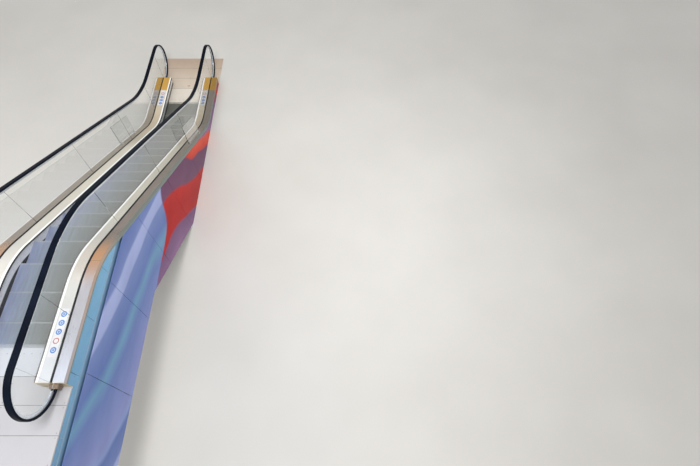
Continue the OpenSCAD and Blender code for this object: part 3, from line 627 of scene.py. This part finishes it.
def add_screw(mesh, centre, radius, height=SCREW_T, turn=Matrix.Identity(4)):
    """Adds a domed screw head with a hexagon socket, its axis along +Z of the turn."""
    place = Matrix.Translation(centre) @ turn
    rounds = []
    for share, rise in SCREW_HEAD:
        ring = []
        for i in range(SCREW_SIDES):
            angle = 2 * math.pi * i / SCREW_SIDES
            reach = radius * share * (hexagon(angle) if share == SOCKET_R else 1)
            point = Vector((reach * math.cos(angle), reach * math.sin(angle), rise * height))
            ring.append(mesh.verts.new(place @ point))
        rounds.append(ring)
    for first, second in zip(rounds, rounds[1:]):
        bridge(mesh, first, second)
    middle = mesh.verts.new(place @ Vector((0, 0, SOCKET_FLOOR * height)))
    for i, vertex in enumerate(rounds[-1]):
        mesh.faces.new((vertex, rounds[-1][(i + 1) % SCREW_SIDES], middle))


def add_bolt(mesh, centre, flat):
    """Adds a hexagon head with a chamfered top on a round washer. flat is its width over the flats."""
    place = Matrix.Translation(centre)
    washer_r = 0.95 * flat
    washer_t = 0.003
    head_h = 0.014
    chamfer = 0.002
    centre_r = 0.001
    corner = flat / math.sqrt(3)
    washer = [(washer_r, 0.0), (washer_r, washer_t), (flat / 2, washer_t)]
    head = [(corner, washer_t), (corner, head_h - chamfer), (flat / 2, head_h), (centre_r, head_h)]
    for sides, profile in ((24, washer), (6, head)):
        rounds = [add_loop(mesh, place, radius, height, sides) for radius, height in profile]
        for first, second in zip(rounds, rounds[1:]):
            bridge(mesh, first, second)
        mesh.faces.new(rounds[-1])


SIGN_T = 0.0006
SIGN_SIDES = 40


def add_sign(mesh, matrix, outer, inner=0.0):
    """Adds a thin ring, or a disc where the inner radius is 0, on the matrix's XY plane."""
    foot = add_loop(mesh, matrix, outer, 0.0, SIGN_SIDES)
    rim = add_loop(mesh, matrix, outer, SIGN_T, SIGN_SIDES)
    bridge(mesh, foot, rim)
    if inner:
        hole = add_loop(mesh, matrix, inner, SIGN_T, SIGN_SIDES)
        bridge(mesh, rim, hole)
        bridge(mesh, hole, foot)
    else:
        mesh.faces.new(rim)
        mesh.faces.new(list(reversed(foot)))


def run_stops(y0, y1):
    """Level distances at which a swept strip is cut: close together in the knees only."""
    knee_step = 0.05
    stops = [y0]
    for a, b in ((arc_up, arc_up_end), (arc_low_start, arc_low)):
        count = max(2, round((b - a) / knee_step))
        cuts = [a + (b - a) * i / count for i in range(count + 1)]
        stops += [y for y in cuts if y0 < y < y1]
    return stops + [y1]


def sweep(mesh, profile, y0, y1):
    """Carries a closed (x, height) profile along the run as one solid strip."""
    rounds = []
    for y in run_stops(y0, y1):
        points = [(x, path_at(y, height)[0]) for x, height in profile]
        rounds.append([mesh.verts.new((x, point.y, point.z)) for x, point in points])
    for first, second in zip(rounds, rounds[1:]):
        bridge(mesh, first, second)
    mesh.faces.new(rounds[0])
    mesh.faces.new(list(reversed(rounds[-1])))


# Fine pieces.
CLEAT_PITCH = 0.009
CLEAT_W = 0.0035
CLEATS_A_SIDE = 44
WORN_HIGHLIGHT_LEN = 0.02
WORN_HIGHLIGHT_DROP = 0.009
WORN_HIGHLIGHT_T = 0.0003
WORN_HIGHLIGHT_FRONT_T = 0.0004


def step_nosings():
    """Bright worn cleat ends along each step's nosing, on top and in front, bright enough to stand for a
    painted highlight along each nosing as well.
    """
    mesh = bmesh.new()
    for _, edge in loose_boxes("step_treads"):
        for i in range(-CLEATS_A_SIDE, CLEATS_A_SIDE + 1):
            x0 = i * CLEAT_PITCH - CLEAT_W / 2
            x1 = i * CLEAT_PITCH + CLEAT_W / 2
            top = edge.z + WORN_HIGHLIGHT_T
            add_block(mesh, (x0, edge.y - WORN_HIGHLIGHT_LEN, edge.z), (x1, edge.y, top))
            add_block(mesh, (x0, edge.y, edge.z - WORN_HIGHLIGHT_DROP), (x1, edge.y + WORN_HIGHLIGHT_FRONT_T, top))
    piece("step_nosings", mesh, NOSING_WEAR_AND_HIGHLIGHT)


# The nodes of the landing plates: -1 stands for the upper end, 1 for the lower one.
LANDING_NODES = (("upper_floor_plates", -1), ("lower_floor_plates", 1))
FULL_WIDTH = 1.0
COMB_SCREWS_X = (0.05, 0.145, 0.245, 0.34)
COMB_SCREW_IN = 0.118
COMB_SCREW_R = 0.0065
PLATE_SCREW_R = 0.006
PLATE_SCREW_IN_X = 0.03
PLATE_SCREW_IN_Y = 0.025


def wide_plates(node):
    """Boxes of the landing plates that reach over the whole width."""
    return [(low, high) for low, high in loose_boxes(node) if high.x - low.x > FULL_WIDTH]


def landing_screws():
    """Screws in the comb segments and near the corners and middles of the landing plates."""
    mesh = bmesh.new()
    for y, z in ((comb_up - COMB_SCREW_IN, floor_up), (comb_low + COMB_SCREW_IN, floor_low)):
        for x in COMB_SCREWS_X:
            for side in SIDES:
                add_screw(mesh, (side * x, y, z), COMB_SCREW_R)
    for node, _ in LANDING_NODES:
        for low, high in wide_plates(node):
            for x in (low.x + PLATE_SCREW_IN_X, 0.0, high.x - PLATE_SCREW_IN_X):
                for y in (low.y + PLATE_SCREW_IN_Y, high.y - PLATE_SCREW_IN_Y):
                    add_screw(mesh, (x, y, high.z), PLATE_SCREW_R)
    piece("landing_screws", mesh, SCREW)


JOINT_W = 0.004
JOINT_T = 0.0003
JOINT_SUNK = 0.0004


def landing_joints():
    """Dark joint at the comb side of each landing plate."""
    mesh = bmesh.new()
    for node, side in LANDING_NODES:
        for low, high in wide_plates(node):
            y = high.y if side < 0 else low.y
            foot = (low.x, y - JOINT_W / 2, high.z - JOINT_SUNK)
            add_block(mesh, foot, (high.x, y + JOINT_W / 2, high.z + JOINT_T))
    piece("landing_joints", mesh, DARK_JOINT_AND_SHADE)


SLOT_LEN = 0.06
SLOT_W = 0.014
SLOT_DEPTH = 0.0066
PAINTED_SHADE_T = 0.001
PIN_R = 0.004
PIN_H = 0.003


def lifting_slots():
    """Painted shade in the slot of each landing, a quarter of the way into the first plate: dark sheets on
    its floor and walls, and a lifting pin as dark as the shade.
    """
    mesh = bmesh.new()
    x1 = SLOT_LEN / 2 - SEAT_GAP
    for y, top in ((plates_up - PLATE_PITCH_UP / 4, floor_up), (plates_low + PLATE_PITCH_LOW / 4, floor_low)):
        y0 = y - SLOT_W / 2 + SEAT_GAP
        y1 = y + SLOT_W / 2 - SEAT_GAP
        foot = top - SLOT_DEPTH
        rim = top - JOINT_SUNK
        # Dark sheets over the slot's floor and walls, painted shade.
        add_block(mesh, (-x1, y0, foot), (x1, y1, foot + PAINTED_SHADE_T))
        for x in (-x1, x1 - PAINTED_SHADE_T):
            add_block(mesh, (x, y0, foot), (x + PAINTED_SHADE_T, y1, rim))
        for wall in (y0, y1 - PAINTED_SHADE_T):
            add_block(mesh, (-x1, wall, foot), (x1, wall + PAINTED_SHADE_T, rim))
        add_screw(mesh, (0, y, foot + PAINTED_SHADE_T), PIN_R, PIN_H)
    piece("lifting_slots", mesh, DARK_JOINT_AND_SHADE)


SKIRT_SCREW_R = 0.004
SKIRT_SCREW_T = 0.0008
SKIRT_SCREW_H = 0.04
SKIRT_SCREW_PITCH = 0.6
SKIRT_SCREW_START = 0.15
SKIRT_SCREW_END = 0.1


def skirt_screws():
    """Screws along the skirts."""
    mesh = bmesh.new()
    for side in SIDES:
        turn = Matrix.Rotation(-side * math.pi / 2, 4, "Y")
        for y in along_run(deck_y0 + SKIRT_SCREW_START, deck_y1 - SKIRT_SCREW_END, SKIRT_SCREW_PITCH):
            point = path_at(y, SKIRT_SCREW_H)[0]
            add_screw(mesh, (side * skirt_x, point.y, point.z), SKIRT_SCREW_R, SKIRT_SCREW_T, turn)
    piece("skirt_screws", mesh, SCREW)


DECK_JOINT_PITCH = 2.4
DECK_JOINT_START = 1.5
DECK_JOINT_END = 0.8
DECK_JOINT_W = 0.002
DECK_JOINT_SUNK = 0.0005
DECK_JOINT_INSET = 0.001
DECK_FROM_GLASS = 0.019


def deck_joints():
    """Dark joints across the outer decks."""
    mesh = bmesh.new()
    for side in SIDES:
        x0, x1 = sorted((side * (glass_x + DECK_FROM_GLASS), side * (outer_x - DECK_JOINT_INSET)))
        foot = (x0, -DECK_JOINT_W / 2, -DECK_JOINT_SUNK)
        for y in along_run(deck_y0 + DECK_JOINT_START, deck_y1 - DECK_JOINT_END, DECK_JOINT_PITCH):
            add_block(mesh, foot, (x1, DECK_JOINT_W / 2, JOINT_T), tilted(*path_at(y, DECK_H)))
    piece("deck_joints", mesh, DARK_JOINT_AND_SHADE)


TRIM_H = 0.026
TRIM_SOFT = 0.0015
TRIM_INSET = 0.0004
TRIM_END = 0.002


def edge_trims():
    """Trim strip with softened edges between the lip of each outer deck and the print."""
    mesh = bmesh.new()
    top = DECK_H - LIP_H - SEAT_GAP
    foot = top - TRIM_H
    for side in SIDES:
        x0 = side * (print_x + SEAT_GAP)
        x1 = side * (outer_x - TRIM_INSET)
        soft_x = x1 - side * TRIM_SOFT
        upper = [(x0, top), (soft_x, top), (x1, top - TRIM_SOFT)]
        lower = [(x1, foot + TRIM_SOFT), (soft_x, foot), (x0, foot)]
        sweep(mesh, upper + lower, deck_y0 + TRIM_END, deck_y1 - TRIM_END)
    piece("edge_trims", mesh, TRIM)


SOFFIT_SCREW_R = 0.007
SOFFIT_SCREW_PITCH = 0.4
SOFFIT_SCREW_IN = 0.05


def soffit_screws():
    """Rows of screws along the soffit panels that lie above the pit."""
    mesh = bmesh.new()
    lowest = {}
    for vertex in nodes["soffit_panels"].data.vertices:
        y = round(vertex.co.y, 4)
        lowest[y] = min(lowest.get(y, vertex.co.z), vertex.co.z)
    line = sorted(lowest.items())
    edge_x = clad_x - SOFFIT_SCREW_IN
    for (y0, z0), (y1, z1) in zip(line, line[1:]):
        reach = math.hypot(y1 - y0, z1 - z0)
        if reach < SOFFIT_SCREW_PITCH / 2 or z1 < floor_low:
            continue
        turn = Matrix.Rotation(math.pi - math.atan2(z0 - z1, y1 - y0), 4, "X")
        count = round(reach / SOFFIT_SCREW_PITCH)
        for i in range(count):
            share = (i + 0.5) / count
            for x in (-edge_x, -clad_x / 3, clad_x / 3, edge_x):
                centre = (x, y0 + share * (y1 - y0), z0 + share * (z1 - z0))
                add_screw(mesh, centre, SOFFIT_SCREW_R, turn=turn)
    piece("soffit_screws", mesh, SCREW)


BOLT_FLAT = 0.024
BOLTS_X = (-0.55, -0.2, 0.2, 0.55)
BOLT_IN = 0.04


def levelling_bolts():
    """Levelling bolts with washers on the two support angles."""
    mesh = bmesh.new()
    for node, side in (("upper_support_angle", -1), ("lower_support_angle", 1)):
        low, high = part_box(node)
        y = low.y + BOLT_IN if side < 0 else high.y - BOLT_IN
        for x in BOLTS_X:
            add_bolt(mesh, (x, y, high.z), BOLT_FLAT)
    piece("levelling_bolts", mesh, SCREW)


BRISTLE_LEN = 0.011
BRISTLE_PITCH = 0.008
BRISTLE_ROWS = (0.1685, 0.1715)
BRISTLE_HALF_W = 0.0022
BRISTLE_HALF_H = 0.0016
BRISTLE_SAG = 0.001
BRISTLE_UNEVEN = 0.1
BRISTLE_BEAT = 2.4
BRUSH_END = 0.02


def brush_bristles():
    """Tapered bristle tufts of the skirt brushes, two staggered rows a side, of slightly uneven length."""
    mesh = bmesh.new()
    for side in SIDES:
        for row, height in enumerate(BRISTLE_ROWS):
            first = deck_y0 + BRUSH_END + row * BRISTLE_PITCH / 2
            for i, y in enumerate(along_run(first, deck_y1 - BRUSH_END, BRISTLE_PITCH)):
                point, tilt = path_at(y, height)
                turn = tilted(point, tilt).to_3x3()
                across = turn @ Vector((0, BRISTLE_HALF_W, 0))
                up = turn @ Vector((0, 0, BRISTLE_HALF_H))
                root = Vector((side * brush_x, point.y, point.z))
                base = [mesh.verts.new(root + offset) for offset in (across - up, -across - up, up)]
                length = BRISTLE_LEN * (1 - BRISTLE_UNEVEN + BRISTLE_UNEVEN * math.sin(BRISTLE_BEAT * i))
                tip = mesh.verts.new((side * (brush_x - length), point.y, point.z - BRISTLE_SAG))
                for j in range(3):
                    mesh.faces.new((base[j], base[(j + 1) % 3], tip))
                mesh.faces.new(base)
    piece("brush_bristles", mesh, finish["brush"])


# Signs on the inner decks, placed by their distance from a comb. SIGN_DROP is how far the slanted deck lies
# below its edge at the glass, at the signs.
SIGN_X = 0.5
SIGN_R = 0.037
SIGN_HOLE_R = 0.021
DOT_R = 0.013
RED_R = 0.036
RED_HOLE_R = 0.026
SIGN_LIFT = 0.0002
FILM_W = 0.1
FILM_T = 0.0003
INNER_DECK_W = 0.144
INNER_DECK_FALL = 0.010
DECK_SLANT = math.atan2(INNER_DECK_FALL, INNER_DECK_W)
SIGN_DROP = 0.0053
FILMS = ((comb_up - 0.21, comb_up + 0.38), (comb_low - 0.24, comb_low + 0.25))
BLUE_SIGNS = [comb_up + d for d in (-0.13, 0.09, 0.2, 0.31)] + [comb_low + d for d in (-0.18, -0.08, 0.02)]
RED_SIGNS = [comb_up - 0.02, comb_low + 0.14]


def on_deck(side, y, lift=0.0):
    """Matrix on the inner deck of one side, with Z off its slightly slanted face."""
    point, tilt = path_at(y, DECK_H - SIGN_DROP + lift)
    point.x = side * SIGN_X
    return tilted(point, tilt) @ Matrix.Rotation(-side * DECK_SLANT, 4, "Y")


def deck_signs():
    """Films on the inner decks near the landings, with blue rings that have a dot, and one red ring each."""
    films = bmesh.new()
    discs = bmesh.new()
    rings = bmesh.new()
    for side in SIDES:
        for y0, y1 in FILMS:
            half = (y1 - y0) / 2
            place = on_deck(side, (y0 + y1) / 2)
            add_block(films, (-FILM_W / 2, -half, 0), (FILM_W / 2, half, FILM_T), place)
        for y in BLUE_SIGNS:
            place = on_deck(side, y, SIGN_LIFT)
            add_sign(discs, place, SIGN_R, SIGN_HOLE_R)
            add_sign(discs, place, DOT_R)
        for y in RED_SIGNS:
            add_sign(rings, on_deck(side, y, SIGN_LIFT), RED_R, RED_HOLE_R)
    piece("deck_films", films, FILM)
    piece("deck_discs", discs, BLUE)
    piece("deck_rings", rings, RED)


step_nosings()
landing_screws()
landing_joints()
lifting_slots()
skirt_screws()
deck_joints()
edge_trims()
soffit_screws()
levelling_bolts()
brush_bristles()
deck_signs()

# Camera at the photograph's place: it looks along +Y and steeply down.
CAMERA_AT = (3.885, 0.464, 5.853)
CAMERA_DOWN = math.radians(60.27)
FOCAL_PX = 475.4
IMAGE_W = 700
CENTRE_X = 344.1
lens = bpy.data.cameras.new("camera")
lens.sensor_width = 36
lens.lens = FOCAL_PX * lens.sensor_width / IMAGE_W
lens.shift_x = (IMAGE_W / 2 - CENTRE_X) / IMAGE_W
lens.clip_end = 200
camera = bpy.data.objects.new("camera", lens)
camera.location = CAMERA_AT
camera.rotation_euler = (math.pi / 2 - CAMERA_DOWN, 0, 0)
bpy.context.scene.collection.objects.link(camera)
bpy.context.scene.camera = camera

# Pale floor level with the lower landing, open over the pit.
FLOOR_REACH = 80
FLOOR_Y = 5
PIT_Y0 = 5.45
PIT_GAP = 0.003
pit_x = outer_x + PIT_GAP
pit_y1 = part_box("lower_floor_plates")[1].y + PIT_GAP
xs = (-FLOOR_REACH, -pit_x, pit_x, FLOOR_REACH)
ys = (FLOOR_Y - FLOOR_REACH, PIT_Y0, pit_y1, FLOOR_Y + FLOOR_REACH)
mesh = bmesh.new()
rows = [[mesh.verts.new((x, y, floor_low - PIT_GAP)) for x in xs] for y in ys]
for j in range(3):
    for i in range(3):
        if (i, j) != (1, 1):
            mesh.faces.new((rows[j][i], rows[j][i + 1], rows[j + 1][i + 1], rows[j + 1][i]))
floor_data = bpy.data.meshes.new("floor")
mesh.to_mesh(floor_data)
mesh.free()
floor = bpy.data.objects.new("floor", floor_data)
bpy.context.scene.collection.objects.link(floor)
stone = Material("pale_floor", srgb(228, 225, 219), 0.0, 0.5)
stone.colour(stone.between(stone.noise(0.6, 2), srgb(225, 222, 216), srgb(231, 228, 222)))
floor.data.materials.append(stone.data)

# Sky, a little darker and cooler at the horizon.
SKY_STRENGTH = 0.58
world = bpy.data.worlds.new("world")
bpy.context.scene.world = world
world.use_nodes = True
sky = world.node_tree
background = sky.nodes["Background"]
background.inputs["Strength"].default_value = SKY_STRENGTH
height = sky.nodes.new("ShaderNodeSeparateXYZ")
sky.links.new(sky.nodes.new("ShaderNodeTexCoord").outputs["Generated"], height.inputs[0])
shades = sky.nodes.new("ShaderNodeValToRGB")
horizon, zenith = shades.color_ramp.elements
horizon.color = (0.84, 0.85, 0.87, 1)
zenith.color = WHITE
zenith.position = 0.75
sky.links.new(height.outputs[2], shades.inputs[0])
sky.links.new(shades.outputs[0], background.inputs["Color"])

LIGHT_AIM = Vector((0, 5.5, -1.0))


def soft_light(name, place, size, power):
    """A rectangular lamp aimed at the middle of the escalator."""
    data = bpy.data.lights.new(name, "AREA")
    data.shape = "RECTANGLE"
    data.size, data.size_y = size
    data.energy = power
    lamp = bpy.data.objects.new(name, data)
    lamp.location = place
    lamp.rotation_euler = (LIGHT_AIM - Vector(place)).to_track_quat("-Z", "Y").to_euler()
    bpy.context.scene.collection.objects.link(lamp)


soft_light("key", (2.0, 1.0, 9.0), (3.0, 3.0), 560)
soft_light("fill", (-6.0, 1.0, 6.5), (6.0, 6.0), 200)
soft_light("strip", (5.5, 6.0, 3.5), (0.35, 6.0), 90)

bpy.context.scene.view_settings.view_transform = "Standard"
